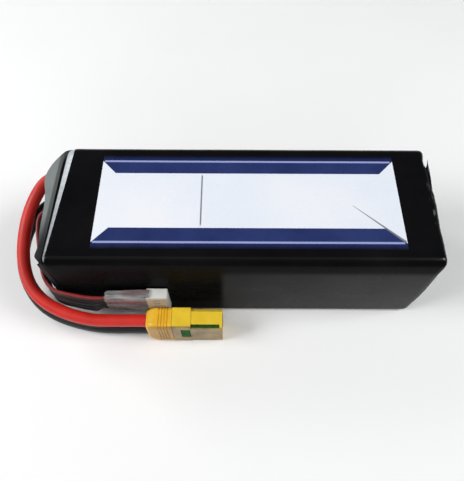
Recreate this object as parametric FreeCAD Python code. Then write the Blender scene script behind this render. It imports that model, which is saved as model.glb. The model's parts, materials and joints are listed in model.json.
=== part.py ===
# Six-cell lithium-polymer battery pack with an anti-spark main plug and a balance plug.
# Units are millimetres.  +X runs along the pack towards its closed end, -X is the wire end,
# -Y is the front, where the two plugs lie, +Y is the back, +Z is up.
# Origin: centre of the pack's underside.
import FreeCAD, Part
import math
import os

Vector = FreeCAD.Vector
os.makedirs("parts", exist_ok=True)

# ---------------------------------------------------------------- driving dimensions
PACK_L, PACK_W, PACK_H = 178.0, 64.0, 58.0      # outside of the shrink sleeve
CLOSED_X = PACK_L / 2                           # closed end face
PACK_AXIS = (0.0, PACK_H / 2)                   # y, z of the pack's centre line

SLEEVE_T = 0.4                                  # shrink film wall
LONG_EDGE_R = 3.5                               # rounding of the four long edges
CLOSED_END_R = 2.0                              # rounding round the closed end
RIM_BACK = (-86.3, PACK_W / 2)                  # the sleeve's cut rim is a slightly skewed
RIM_FRONT = (-87.2, -PACK_W / 2)                # upright plane through these x, y points
END_FLANGE = 8.0                                # film folded over the closed end

N_CELLS = 6
CELL_T, FOAM_T = 8.65, 0.6
STACK_Z0 = 1.55                                 # underside of the lowest cell
CELL_X0, CELL_X1, CELL_HALF_W = -71.0, 85.4, 31.2
CELL_Z = [STACK_Z0 + CELL_T / 2 + i * (CELL_T + FOAM_T) for i in range(N_CELLS)]

LEAD_R, CORE_R = 3.1, 2.0                       # 8 AWG silicone lead and its strand bundle
CORE_GAP = 0.02                                 # between strands and insulation

PLUG_Y, PLUG_Z = -43.6, 11.0                    # axis of the main plug, lying along X
PLUG_AXIS = (PLUG_Y, PLUG_Z)
CONTACT_OFFSET = 5.45                           # half of the contact spacing
POSITIVE_Z, NEGATIVE_Z = PLUG_Z + CONTACT_OFFSET, PLUG_Z - CONTACT_OFFSET
CONTACT_ZS = (POSITIVE_Z, NEGATIVE_Z)

N_BALANCE = 7                                   # balance wires, one above another
BALANCE_ROWS = range(-(N_BALANCE // 2), N_BALANCE // 2 + 1)
BALANCE_R, BALANCE_WIRE_PITCH = 0.75, 1.68
BALANCE_PIN_PITCH = 2.5                         # row spacing inside the balance plug

# ---------------------------------------------------------------- lead routes, x y z
RED_ROUTE = [
    (-86.4, 21.0, 46.0), (-90.5, 21.1, 46.0), (-94.6, 21.0, 45.9), (-97.9, 19.3, 45.2),
    (-101.0, 15.0, 44.0), (-104.2, 8.4, 41.3), (-106.8, 0.2, 37.3), (-108.2, -8.9, 32.5),
    (-107.9, -18.6, 27.2), (-104.4, -27.8, 23.0), (-96.1, -35.8, 19.8), (-83.3, -41.2, 17.6),
    (-71.5, -43.4, 16.6), (-66.0, -43.6, 16.45), (-56.0, -43.6, 16.45), (-38.0, -43.6, 16.45)]
BLACK_ROUTE = [
    (-86.2, 11.5, 37.0), (-90.5, 11.5, 37.0), (-95.5, 11.4, 36.9), (-99.3, 10.0, 36.0),
    (-103.9, 6.6, 33.3), (-108.9, 1.4, 28.3), (-112.3, -5.7, 22.7), (-112.8, -15.0, 16.3),
    (-109.6, -24.1, 10.6), (-103.0, -31.9, 6.4), (-94.0, -37.1, 4.2), (-83.0, -40.7, 4.1),
    (-72.0, -43.1, 5.2), (-66.0, -43.6, 5.55), (-56.0, -43.6, 5.55), (-38.0, -43.6, 5.55)]
BALANCE_ROUTE = [                               # middle wire of the balance lead
    (-86.6, 0.0, 45.0), (-91.0, -0.2, 45.0), (-94.8, -2.6, 44.7), (-95.9, -8.0, 43.4),
    (-95.4, -16.0, 39.6), (-94.3, -24.0, 35.2), (-92.6, -30.3, 31.2), (-89.6, -33.4, 28.0),
    (-84.0, -34.5, 24.6), (-77.0, -35.1, 22.0), (-72.8, -35.35, 21.1), (-67.0, -35.3, 20.7),
    (-58.0, -35.2, 20.65), (-43.5, -35.15, 20.65)]


# ================================================================ paths and sweeps
def spline(points, samples=30):
    """Natural cubic through the points by chord length, as dense points."""
    spans = [math.dist(a, b) for a, b in zip(points, points[1:])]
    last = len(points) - 1
    axes = []
    for values in zip(*points):
        # tridiagonal system for the second derivatives, which are zero at both ends
        diagonal, upper, right = [1.0] * (last + 1), [0.0] * (last + 1), [0.0] * (last + 1)
        for i in range(1, last):
            before, after = spans[i - 1], spans[i]
            weight = before / diagonal[i - 1]
            diagonal[i] = 2 * (before + after) - weight * upper[i - 1]
            upper[i] = after
            right[i] = (6 * ((values[i + 1] - values[i]) / after
                             - (values[i] - values[i - 1]) / before) - weight * right[i - 1])
        bend = [0.0] * (last + 1)
        for i in range(last - 1, -1, -1):
            bend[i] = (right[i] - upper[i] * bend[i + 1]) / diagonal[i]
        axes.append((values, bend))
    dense = []
    for i, span in enumerate(spans):
        for j in range(samples if i < last - 1 else samples + 1):
            d = j / samples * span
            dense.append(tuple(
                v[i] + d * ((v[i + 1] - v[i]) / span - span * (2 * s[i] + s[i + 1]) / 6)
                + s[i] / 2 * d * d + (s[i + 1] - s[i]) / (6 * span) * d ** 3
                for v, s in axes))
    return dense


def walk(path, i, distance):
    """Index reached by walking the distance along the path from i (negative goes back)."""
    step = 1 if distance > 0 else -1
    gone = 0.0
    while 0 <= i + step < len(path) and gone < abs(distance):
        gone += math.dist(path[i], path[i + step])
        i += step
    return i


def path_length(points):
    return sum(math.dist(a, b) for a, b in zip(points, points[1:]))


def direction(start, end):
    vector = Vector(*end) - Vector(*start)
    vector.normalize()
    return vector


def sweep(points, radius, spacing):
    """Round solid along a curve through stations picked from the dense points."""
    total = path_length(points)
    count = max(2, round(total / spacing))
    stations = [points[0]]
    run = 0.0
    for a, b in zip(points, points[1:]):
        run += math.dist(a, b)
        if run >= total / count * len(stations) - 1e-9 and len(stations) < count:
            stations.append(b)
    stations.append(points[-1])
    start = direction(points[0], points[1])
    curve = Part.BSplineCurve()
    curve.interpolate(Points=[Vector(*p) for p in stations], InitialTangent=start,
                      FinalTangent=direction(points[-2], points[-1]))
    ring = Part.Wire([Part.makeCircle(radius, Vector(*points[0]), start)])
    return Part.Wire([curve.toShape()]).makePipeShell([ring], True, False)


def tube(points, radius, spacing=1.6):
    """Sweep with the first station spacing whose volume and box agree with the route."""
    ideal = math.pi * radius * radius * path_length(points)
    reach = [max(values) - min(values) + 6 * radius + 3 for values in zip(*points)]
    for step in (spacing, 1.3, 2.0, 2.4, 3.2, 4.0, 1.0, 5.0, 0.8):
        solid = sweep(points, radius, step)
        bound = solid.BoundBox
        size = (bound.XLength, bound.YLength, bound.ZLength)
        if (len(solid.Solids) == 1 and solid.isValid()
                and abs(solid.Volume / ideal - 1) < 0.003
                and all(s < limit for s, limit in zip(size, reach))):
            break
    return solid


# ================================================================ solids
def box(x0, x1, y0, y1, z0, z1):
    return Part.makeBox(x1 - x0, y1 - y0, z1 - z0, Vector(x0, y0, z0))


def along(shape, axis):
    """Edges of a shape that run along one axis."""
    found = []
    for edge in shape.Edges:
        if len(edge.Vertexes) == 2:
            d = edge.Vertexes[1].Point - edge.Vertexes[0].Point
            if d.Length > 1e-6:
                d.normalize()
                if abs(abs(getattr(d, axis)) - 1) < 1e-6:
                    found.append(edge)
    return found


def rounded(x0, x1, y0, y1, z0, z1, radius, axis="x"):
    block = box(x0, x1, y0, y1, z0, z1)
    return block.makeFillet(radius, along(block, axis))


def bar(x0, x1, centre, half_y, half_z, radius=0):
    """Bar along X about a centre (y, z), its long edges rounded if a radius is given."""
    y, z = centre
    limits = (x0, x1, y - half_y, y + half_y, z - half_z, z + half_z)
    return rounded(*limits, radius) if radius else box(*limits)


def pack_bar(x0, x1, inset, radius):
    """Bar with the pack's section, drawn in by the inset on all four sides."""
    return bar(x0, x1, PACK_AXIS, PACK_W / 2 - inset, PACK_H / 2 - inset, radius)


def at_x(shape, x):
    """Edges lying in the plane at x."""
    return [e for e in shape.Edges if all(abs(v.Point.x - x) < 1e-4 for v in e.Vertexes)
            and abs(e.CenterOfMass.x - x) < 1e-3]


def plug_rod(x0, x1, z, radius):
    """Cylinder along X at the main plug's y."""
    return Part.makeCylinder(radius, x1 - x0, Vector(x0, PLUG_Y, z), Vector(1, 0, 0))


def plug_ring(x0, x1, z, outer_r, inner_r):
    return plug_rod(x0, x1, z, outer_r).cut(plug_rod(x0 - 1, x1 + 1, z, inner_r))


def polygon_face(points):
    return Part.Face(Part.makePolygon(points + [points[0]]))


def section_loft(centre, stations, ruled):
    """Solid loft through rounded rectangles given as x, half_y, half_z, radius."""
    wires = []
    for x, half_y, half_z, radius in stations:
        block = bar(x, x + 1, centre, half_y, half_z, radius)
        face = [f for f in block.Faces
                if abs(f.CenterOfMass.x - x) < 1e-6 and abs(f.normalAt(0, 0).x) > 0.9][0]
        wires.append(face.OuterWire)
    return Part.makeLoft(wires, True, ruled)


def save(name, shape):
    shape.exportStep("parts/" + name + ".step")


def save_group(name, shapes):
    save(name, Part.makeCompound(shapes))


red_path, black_path = spline(RED_ROUTE), spline(BLACK_ROUTE)
balance_path = spline(BALANCE_ROUTE)


# ================================================================ casing
def outer_sleeve():
    """One shrink tube, folded over the closed end, cut off on the skew at the wire end."""
    outer = pack_bar(-95.0, CLOSED_X, 0, LONG_EDGE_R)
    outer = outer.makeFillet(CLOSED_END_R, at_x(outer, CLOSED_X))
    inner_x = CLOSED_X - SLEEVE_T
    inner = pack_bar(-96.0, inner_x, SLEEVE_T, LONG_EDGE_R - SLEEVE_T)
    inner = inner.makeFillet(CLOSED_END_R - SLEEVE_T, at_x(inner, inner_x))
    overrun = 8.0                               # the cutter passes both sides by this much
    skew = (RIM_FRONT[0] - RIM_BACK[0]) / (RIM_FRONT[1] - RIM_BACK[1]) * overrun
    half = PACK_W / 2 + overrun
    corners = [(-120, half), (RIM_BACK[0] + skew, half), (RIM_FRONT[0] - skew, -half),
               (-120, -half)]
    cut_end = polygon_face([Vector(x, y, -5) for x, y in corners]).extrude(Vector(0, 0, 70))
    mouth = pack_bar(CLOSED_X - 3, CLOSED_X + 3, END_FLANGE, 6.0)
    return outer.cut(inner).cut(cut_end).cut(mouth)


LABEL = (-66.5, 73.4, -25.2, 26.0)              # printed panel, x0 x1 y0 y1
LABEL_T, LABEL_CORNER_R = 0.15, 0.8

save("outer_sleeve", outer_sleeve())
save("top_label", rounded(*LABEL, PACK_H, PACK_H + LABEL_T, LABEL_CORNER_R, "z"))

# ---------------------------------------------------------------- wire end hood
HOOD_T = 0.8
HOOD_OPEN_X = -72.0
HOOD_INSET = 0.5                                # inside the pack's outer faces
HOOD_EDGE_R = 3.0
HOOD_SLOPE = 0.412                              # fall of the sloping top, mm per mm
HOOD_EDGE = [                                   # plan outline from back to front, x y
    (-79.0, 31.65), (-83.0, 30.9), (-86.4, 28.8), (-89.6, 26.2), (-92.4, 22.9),
    (-94.3, 19.0), (-94.9, 15.2), (-94.3, 11.4), (-93.3, 8.0), (-92.2, 3.0), (-91.5, -5.9),
    (-90.9, -16.7), (-90.5, -25.5), (-90.0, -29.3), (-88.4, -31.25), (-86.2, -31.65)]
LEAD_HOLE_R = LEAD_R + 0.6
BALANCE_SLOT_Z, BALANCE_SLOT_HALF_H = 45.0, 6.3


def inset_edge(points, distance):
    """Outline moved inwards; its two ends move along Y only."""
    moved = []
    last = len(points) - 1
    for i, (x, y) in enumerate(points):
        before, after = points[max(i - 1, 0)], points[min(i + 1, last)]
        run_x, run_y = after[0] - before[0], after[1] - before[1]
        if i in (0, last):
            run_x, run_y = (-1 if i == 0 else 1), 0
        length = math.hypot(run_x, run_y)
        moved.append((x - run_y / length * distance, y + run_x / length * distance))
    return moved


def above_slope(z_at_rim):
    """Block above the plane that falls towards the wire end from the sleeve's rim."""
    rim = Vector(*RIM_FRONT, 0) - Vector(*RIM_BACK, 0)
    outward = Vector(rim.y, -rim.x, 0)          # level, pointing out of the wire end
    outward.normalize()
    rim.normalize()
    fall = Vector(outward.x, outward.y, -HOOD_SLOPE)
    corner = Vector(*RIM_BACK, z_at_rim) - rim * 30
    inner, outer = corner - fall * 20, corner + fall * 60
    plane = polygon_face([inner, outer, outer + rim * 130, inner + rim * 130])
    return plane.extrude(Vector(0, 0, 60))


def hood_body(edge, open_x, inset, radius):
    points = [Vector(x, y, inset - 1) for x, y in edge]
    curve = Part.BSplineCurve()
    curve.interpolate(Points=points, InitialTangent=Vector(-1, 0, 0),
                      FinalTangent=Vector(1, 0, 0))
    back, front = points[0], points[-1]
    open_back, open_front = (Vector(open_x, p.y, p.z) for p in (back, front))
    outline = Part.Wire([curve.toShape(), Part.makeLine(front, open_front),
                         Part.makeLine(open_front, open_back), Part.makeLine(open_back, back)])
    body = Part.Face(outline).extrude(Vector(0, 0, PACK_H - 2 * inset + 2))
    body = body.common(pack_bar(-110, open_x + 5, inset, radius))
    return body.cut(above_slope(PACK_H - inset))


def wire_end_hood():
    """Thin cover over the tabs, bulging where the leads leave, with a sloping top."""
    hood = hood_body(HOOD_EDGE, HOOD_OPEN_X, HOOD_INSET, HOOD_EDGE_R).cut(
        hood_body(inset_edge(HOOD_EDGE, HOOD_T), HOOD_OPEN_X + 2, HOOD_INSET + HOOD_T,
                  HOOD_EDGE_R - HOOD_T))
    # straight holes where the leads leave, aimed along each lead from the given x
    for path, exit_x in ((red_path, -90.5), (black_path, -91.0)):
        i = min(range(40), key=lambda k: abs(path[k][0] - exit_x))
        aim = direction(path[i], path[walk(path, i, 5.0)])
        hood = hood.cut(Part.makeCylinder(LEAD_HOLE_R, 16, Vector(*path[i]) - aim * 4, aim))
    return hood.cut(rounded(-100, -88, -4.4, 1.1, BALANCE_SLOT_Z - BALANCE_SLOT_HALF_H,
                            BALANCE_SLOT_Z + BALANCE_SLOT_HALF_H, 1.2))


save("wire_end_hood", wire_end_hood())

# ---------------------------------------------------------------- plates, tape, end pads
PLATE_Z0, PLATE_Z1 = HOOD_INSET + 0.1, STACK_Z0 - 0.02
BAND_X0S, BAND_W = (-45.0, 42.0), 22.0
BAND_INSET, BAND_T, BAND_R = 0.43, 0.12, 3.05
END_PAD_HALF_W, END_PAD_HALF_H = 27.0, PACK_H / 2 - 3.5


def stiffening_plate(z0, z1):
    return rounded(-71.3, 86.6, -29.0, 29.0, z0, z1, 2.0, "z")


def tape_band(x0):
    outer = pack_bar(x0, x0 + BAND_W, BAND_INSET, BAND_R)
    return outer.cut(pack_bar(x0 - 1, x0 + BAND_W + 1, BAND_INSET + BAND_T, BAND_R - BAND_T))


def end_pad(x0, x1, radius):
    return bar(x0, x1, PACK_AXIS, END_PAD_HALF_W, END_PAD_HALF_H, radius)


save("bottom_plate", stiffening_plate(PLATE_Z0, PLATE_Z1))
save("top_plate", stiffening_plate(PACK_H - PLATE_Z1, PACK_H - PLATE_Z0))
save_group("stack_tape_bands", [tape_band(x0) for x0 in BAND_X0S])
save("closed_end_foam", end_pad(85.55, 86.75, 2.0))
save("closed_end_board", end_pad(86.95, 88.3, 3.0))

# ================================================================ cells
TERRACE_X0 = -77.5                              # the flat ledge each cell's tabs leave from
TAB_X0, TAB_X1 = -85.7, TERRACE_X0 - 0.05
TAB_Y, TAB_HALF_W, TAB_HALF_T = 13.0, 6.0, 0.2
SLOT_GAP = 0.15                                 # round each tab in the tab board
BOARD_X0, BOARD_X1 = -85.2, -83.6
LINK_X1 = BOARD_X0 - 0.02                       # links and pads stop just short of the board
LEAD_PADS = [(20.5, 46.0), (11.5, 37.0)]        # y z of the red and black pad centres


def cell(z):
    body = bar(CELL_X0, CELL_X1, (0, z), CELL_HALF_W, CELL_T / 2, 1.6)
    body = body.makeFillet(1.2, at_x(body, CELL_X0) + at_x(body, CELL_X1))
    terrace = bar(TERRACE_X0, CELL_X0 + 1, (0, z), 29.5, 0.45)
    return body.fuse(terrace).removeSplitter()


def positive_y(i):
    """Positive tab of cell i; the cells are turned over alternately."""
    return TAB_Y if i % 2 == 0 else -TAB_Y


def tab(y, z):
    return bar(TAB_X0, TAB_X1, (y, z), TAB_HALF_W, TAB_HALF_T)


def foam_pad(z):
    cell_top = z + CELL_T / 2
    return rounded(-66, 80, -28, 28, cell_top + 0.02, cell_top + FOAM_T - 0.02, 2.0, "z")


def tab_board():
    """Upright board with a slot for each tab."""
    board = box(BOARD_X0, BOARD_X1, -24, 24, 3.9, 53.6)
    for z in CELL_Z:
        for y in (-TAB_Y, TAB_Y):
            board = board.cut(bar(-86, -83, (y, z), TAB_HALF_W + SLOT_GAP,
                                  TAB_HALF_T + SLOT_GAP))
    return board


def series_link(i):
    """Link from the positive tab of cell i to the tab above it."""
    y = positive_y(i)
    return box(TAB_X0, LINK_X1, y - 4, y + 4, CELL_Z[i] + 0.25, CELL_Z[i + 1] - 0.25)


for i, z in enumerate(CELL_Z):
    save(f"cell_{i + 1}", cell(z))
save_group("positive_tabs", [tab(positive_y(i), z) for i, z in enumerate(CELL_Z)])
save_group("negative_tabs", [tab(-positive_y(i), z) for i, z in enumerate(CELL_Z)])
save_group("cell_foam_pads", [foam_pad(z) for z in CELL_Z[:-1]])
save("tab_board", tab_board())
save_group("series_links", [series_link(i) for i in range(N_CELLS - 1)])
save_group("lead_pads", [bar(TAB_X0, LINK_X1, centre, 2.8, 2.4) for centre in LEAD_PADS])

# ================================================================ main lead
# upright hinge axes: x, y, and the lengths of lead left out before and after
HINGES = [(-101.2, 12.2, 2.9, 2.9), (-110.5, -11.0, 2.6, 2.6),
          (-102.4, -31.6, 2.8, 2.8), (-68.5, -43.4, 2.5, 2.3)]
LEAD_PIECES = ("in_pack", "a", "b", "c")        # then at_plug, after the last hinge
BARE_IN_PACK = 2.2                              # strands without insulation at the pads
INSULATION_END_X, CORE_END_X = -42.6, -36.9     # inside the plug


def main_lead(colour, path):
    """Save the insulation pieces of one lead and return its strand bundles in order."""
    starts, ends = [0], []
    for x, y, before, after in HINGES:
        i = min(range(len(path)), key=lambda k: (path[k][0] - x) ** 2 + (path[k][1] - y) ** 2)
        ends.append(walk(path, i, -before))
        starts.append(walk(path, i, after))
    cores = []
    for name, start, end in zip(LEAD_PIECES, starts, ends):
        covered = start if start else walk(path, 0, BARE_IN_PACK)
        points = path[covered:end + 1]
        save(f"{colour}_lead_{name}", tube(points, LEAD_R).cut(tube(points, CORE_R + CORE_GAP)))
        cores.append(tube(path[start:end + 1], CORE_R))
    x, z = path[starts[-1]][0], path[-1][2]
    save(f"{colour}_lead_at_plug", plug_ring(x, INSULATION_END_X, z, LEAD_R, CORE_R + CORE_GAP))
    cores.append(plug_rod(x, CORE_END_X, z, CORE_R))
    return cores


red_cores = main_lead("red", red_path)
black_cores = main_lead("black", black_path)
for name, *pair in zip(LEAD_PIECES + ("at_plug",), red_cores, black_cores):
    save_group(f"lead_cores_{name}", pair)

# ================================================================ main plug
COLLAR_X0, COLLAR_X1 = -33.2, -24.2
INSERT_X1 = -8.6                                # the insert runs on from the collar
INSERT_HALF_W, INSERT_CHAMFER = 5.0, 1.9
INSERT_Z0, INSERT_Z1 = PLUG_Z - 9.9, PLUG_Z + 10.2
CONTACT_R, SOCKET_R = 2.85, 2.25                # 4.5 mm contact bore
SOCKET_X = -23.6                                # blind end of the contact bores
POSITIVE_MOUTH_X, NEGATIVE_MOUTH_X = -13.5, -9.4
INSULATOR_X0, INSULATOR_X1, INSULATOR_R = -13.3, -8.45, 3.25
RING_X0, RING_X1 = -11.85, -9.4                 # ring let into the insulator's bore
RESISTOR = (-29.0, -24.5, 7.0, 17.8)            # block in the plug's front, x0 x1 z0 z1
RESISTOR_FACE_Y = PLUG_Y - 5.2


def chamfer_bar(x0, x1, width, depth, height):
    """Bar in the insert's front top chamfer, from depth below its face to height above."""
    block = Part.makeBox(x1 - x0, depth + height, width, Vector(x0, -height, -width / 2))
    block.rotate(Vector(0, 0, 0), Vector(1, 0, 0), -45)
    block.translate(Vector(0, PLUG_Y - INSERT_HALF_W + INSERT_CHAMFER / 2,
                           INSERT_Z1 - INSERT_CHAMFER / 2))
    return block


def plug_insert():
    """Nose of the plug, its two top edges chamfered; it starts 1 mm inside the collar."""
    x0 = COLLAR_X1 - 1
    front, back = PLUG_Y - INSERT_HALF_W, PLUG_Y + INSERT_HALF_W
    profile = [(front, INSERT_Z0), (back, INSERT_Z0), (back, INSERT_Z1 - INSERT_CHAMFER),
               (back - INSERT_CHAMFER, INSERT_Z1), (front + INSERT_CHAMFER, INSERT_Z1),
               (front, INSERT_Z1 - INSERT_CHAMFER)]
    face = polygon_face([Vector(x0, y, z) for y, z in profile])
    insert = face.extrude(Vector(INSERT_X1 - x0, 0, 0))
    return insert.makeFillet(0.45, at_x(insert, INSERT_X1))


def plug_housing():
    collar = bar(COLLAR_X0, COLLAR_X1, PLUG_AXIS, 5.3, 10.7, 0.9)
    neck = bar(-39.3, COLLAR_X0 + 1, PLUG_AXIS, 4.3, 9.3, 1.0)
    housing = collar.fuse([neck, plug_insert()]).removeSplitter()
    for z in CONTACT_ZS:
        housing = housing.cut(plug_rod(-42, -5, z, CONTACT_R + 0.05))
    housing = housing.cut(plug_rod(INSULATOR_X0 - 0.1, -5, POSITIVE_Z, INSULATOR_R + 0.05))
    x0, x1, z0, z1 = RESISTOR
    housing = housing.cut(box(x0 - 0.1, x1 + 0.1, PLUG_Y - 6, PLUG_Y - 3.4,
                              z0 - 0.1, z1 + 0.1))
    for x in (-31.4, -29.1):                    # finger grooves across the collar's back
        housing = housing.cut(box(x - 0.35, x + 0.35, PLUG_Y + 5.0, PLUG_Y + 6,
                                  PLUG_Z - 8, PLUG_Z + 8))
    return housing.cut(chamfer_bar(-24.1, -10.0, width=1.9, depth=0.55, height=1.0))


def contact(z, mouth_x):
    """Bored for the mating pin at the +X end and for the strands at the -X end."""
    body = plug_rod(-42.2, mouth_x, z, CONTACT_R)
    body = body.cut(plug_rod(SOCKET_X, 0, z, SOCKET_R))
    return body.cut(plug_rod(-44, CORE_END_X + 0.3, z, CORE_R + 0.06))


def anti_spark_insulator():
    ring = plug_ring(INSULATOR_X0, INSULATOR_X1, POSITIVE_Z, INSULATOR_R, SOCKET_R)
    return ring.cut(plug_rod(RING_X0 - 0.05, RING_X1 + 0.05, POSITIVE_Z, 2.84))


def anti_spark_resistor():
    x0, x1, z0, z1 = RESISTOR
    block = box(x0, x1, RESISTOR_FACE_Y, PLUG_Y - 3.45, z0, z1)
    front_edges = [e for e in block.Edges
                   if all(abs(v.Point.y - RESISTOR_FACE_Y) < 1e-5 for v in e.Vertexes)]
    return block.makeFillet(0.5, front_edges)


save("plug_housing", plug_housing())
save("positive_contact", contact(POSITIVE_Z, POSITIVE_MOUTH_X))
save("negative_contact", contact(NEGATIVE_Z, NEGATIVE_MOUTH_X))
save("anti_spark_insulator", anti_spark_insulator())
save("anti_spark_ring", plug_ring(RING_X0, RING_X1, POSITIVE_Z, 2.8, SOCKET_R))
save("anti_spark_resistor", anti_spark_resistor())
save("anti_spark_strip", chamfer_bar(-24.0, -10.1, width=1.8, depth=0.5, height=0.12))
save_group("solder_sleeves", [plug_ring(-43.7, -39.6, z, 3.42, 3.13) for z in CONTACT_ZS])

# ---------------------------------------------------------------- plug cap
CAP_X0, CAP_X1 = -46.0, -33.35
CAP_FULL_X = CAP_X0 + 4.6                       # the taper ends here
CAP_SECTION = (5.4, 10.8, 2.2)                  # half_y half_z radius
CAP_TAPER = [(CAP_X0, 4.2, 8.9, 2.0), (CAP_X0 + 2.0, 5.05, 10.2, 2.2),
             (CAP_FULL_X, *CAP_SECTION)]        # x half_y half_z radius
GRIP_GROOVE_XS = (-39.7, -38.3, -36.9, -35.5)


def plug_cap():
    """Cap over the lead end of the plug; it slides back along the leads."""
    taper = section_loft(PLUG_AXIS, CAP_TAPER, ruled=False)
    cap = taper.fuse(bar(CAP_FULL_X, CAP_X1, PLUG_AXIS, *CAP_SECTION)).removeSplitter()
    for x in GRIP_GROOVE_XS:                    # shallow, all round
        groove = bar(x - 0.3, x + 0.3, PLUG_AXIS, 7, 12)
        cap = cap.cut(groove.cut(bar(x - 1, x + 1, PLUG_AXIS, 5.05, 10.45, 1.9)))
    cap = cap.cut(bar(CAP_X0 + 2.0, CAP_X1 + 1, PLUG_AXIS, 4.4, 9.4, 1.0))
    for z in CONTACT_ZS:
        cap = cap.cut(plug_rod(CAP_X0 - 1, CAP_X0 + 3, z, LEAD_R + 0.25))
    return cap


save("plug_cap", plug_cap())

# ================================================================ balance lead and plug
FAN_X0, FAN_LENGTH = -69.4, 22.0                # wires spread from lead to pin pitch here
JST_X, JST_Y, JST_Z = -40.1, -35.15, 20.65      # centre of the balance plug housing
JST_AXIS = (JST_Y, JST_Z)
JST_L, JST_T, JST_H = 9.8, 5.75, 19.9
JST_X0, JST_X1 = JST_X - JST_L / 2, JST_X + JST_L / 2
CLEAR_X0, CLEAR_X1 = -67.0, JST_X0 + 0.9        # clear sleeve, overlapping the housing
CLEAR_OUTER = [(CLEAR_X0, 2.2, 9.6, 2.0), (-62.0, 2.5, 10.4, 2.2),
               (-49.0, 2.85, 10.6, 1.2), (CLEAR_X1, 3.0, 10.6, 0.9)]  # x half_y half_z radius
CLEAR_INNER = [(CLEAR_X0 - 0.01, 1.85, 9.25, 1.7), (-62.0, 2.2, 10.05, 1.9),
               (-49.0, 2.6, 10.3, 0.9), (CLEAR_X1 + 0.01, 2.94, 10.2, 0.6)]


def balance_index(x):
    """Path point nearest x on the stretch along the pack's front."""
    front = [i for i, point in enumerate(balance_path) if point[1] < -30]
    return min(front, key=lambda i: abs(balance_path[i][0] - x))


def balance_wires(start, end, spacing=1.6):
    wires = []
    for row in BALANCE_ROWS:
        points = []
        for x, y, z in balance_path[start:end + 1]:
            u = max(0.0, min(1.0, (x - FAN_X0) / FAN_LENGTH))
            spread = (BALANCE_PIN_PITCH - BALANCE_WIRE_PITCH) * u * u * (3 - 2 * u)
            points.append((x, y, z + row * (BALANCE_WIRE_PITCH + spread)))
        wires.append(tube(points, BALANCE_R, spacing))
    return wires


def balance_pins():
    """Centre (y, z) of each terminal."""
    return [(JST_Y, JST_Z + row * BALANCE_PIN_PITCH) for row in BALANCE_ROWS]


def balance_plug_housing():
    housing = bar(JST_X0, JST_X1, JST_AXIS, JST_T / 2, JST_H / 2, 0.4)
    for centre in balance_pins():
        z = centre[1]
        cavity = bar(JST_X0 - 1, JST_X1 - 1.0, centre, 1.05, 0.85)
        pin_mouth = bar(JST_X1 - 2, JST_X1 + 1, centre, 0.5, 0.5)
        latch_window = box(JST_X - 1.6, JST_X + 1.4, JST_Y - JST_T / 2 - 1, JST_Y - 1.0,
                           z - 0.55, z + 0.55)
        housing = housing.cut(cavity).cut(pin_mouth).cut(latch_window)
    return housing


def balance_terminal(centre):
    body = bar(JST_X - 3.6, JST_X + 3.6, centre, 0.85, 0.7)
    return body.cut(bar(JST_X - 0.5, JST_X + 4, centre, 0.4, 0.4))


save_group("balance_wires_in_pack", balance_wires(0, balance_index(-88.3)))
save_group("balance_wires_lead", balance_wires(balance_index(-81.0), balance_index(-76.0)))
save_group("balance_wires_at_plug",
           balance_wires(balance_index(FAN_X0), balance_index(-45.2), spacing=4.0))
save("balance_plug_housing", balance_plug_housing())
save_group("balance_terminals", [balance_terminal(centre) for centre in balance_pins()])
save("balance_clear_sleeve", section_loft(JST_AXIS, CLEAR_OUTER, ruled=True).cut(
    section_loft(JST_AXIS, CLEAR_INNER, ruled=True)))
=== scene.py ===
"""Six-cell battery pack with its two main leads, main plug and balance lead.

The pack lies flat on z = 0 with its length along X, its width along Y and the label on top.
Leads and balance wires leave the wire end (-X), turn round to the front (-Y) and run towards +X
to their plugs. The end at +X is closed by the folded film. Code works in millimetres; objects
are written in metres.
"""
import json
import math
import random

import bmesh
import bpy
from mathutils import Matrix, Vector, noise


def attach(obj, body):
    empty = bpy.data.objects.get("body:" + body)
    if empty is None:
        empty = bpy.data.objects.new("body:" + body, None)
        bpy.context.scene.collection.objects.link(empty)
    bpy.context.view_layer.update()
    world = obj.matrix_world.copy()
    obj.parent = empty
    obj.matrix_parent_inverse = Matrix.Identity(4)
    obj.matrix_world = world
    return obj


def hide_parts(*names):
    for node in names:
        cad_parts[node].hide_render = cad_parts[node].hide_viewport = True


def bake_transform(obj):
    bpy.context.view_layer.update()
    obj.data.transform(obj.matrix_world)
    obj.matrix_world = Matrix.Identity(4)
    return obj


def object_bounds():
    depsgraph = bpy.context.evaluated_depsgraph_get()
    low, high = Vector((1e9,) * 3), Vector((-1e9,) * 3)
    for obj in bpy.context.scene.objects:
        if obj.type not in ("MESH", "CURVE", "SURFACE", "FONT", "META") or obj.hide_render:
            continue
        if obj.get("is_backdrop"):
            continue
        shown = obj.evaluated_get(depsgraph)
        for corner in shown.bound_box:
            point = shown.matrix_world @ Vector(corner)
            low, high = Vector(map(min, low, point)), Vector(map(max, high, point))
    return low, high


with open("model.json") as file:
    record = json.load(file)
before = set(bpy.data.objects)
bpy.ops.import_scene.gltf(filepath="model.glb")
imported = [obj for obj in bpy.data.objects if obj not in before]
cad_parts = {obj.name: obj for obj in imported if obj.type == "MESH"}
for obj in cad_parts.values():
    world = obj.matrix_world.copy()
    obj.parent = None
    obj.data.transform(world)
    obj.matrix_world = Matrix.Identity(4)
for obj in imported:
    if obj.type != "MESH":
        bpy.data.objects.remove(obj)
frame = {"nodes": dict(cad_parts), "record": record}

LOADED_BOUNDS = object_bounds()
random.seed(7)

# ------------------------------------------------------------------ dimensions, millimetres
MM = 0.001
HALF_WIDTH, HEIGHT = 32.0, 58.0
HALF_HEIGHT = HEIGHT / 2
CLOSED_END_X = 89.0
SLEEVE_CORNER_RADIUS = 3.5
FILM_THICKNESS = 0.38

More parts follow.
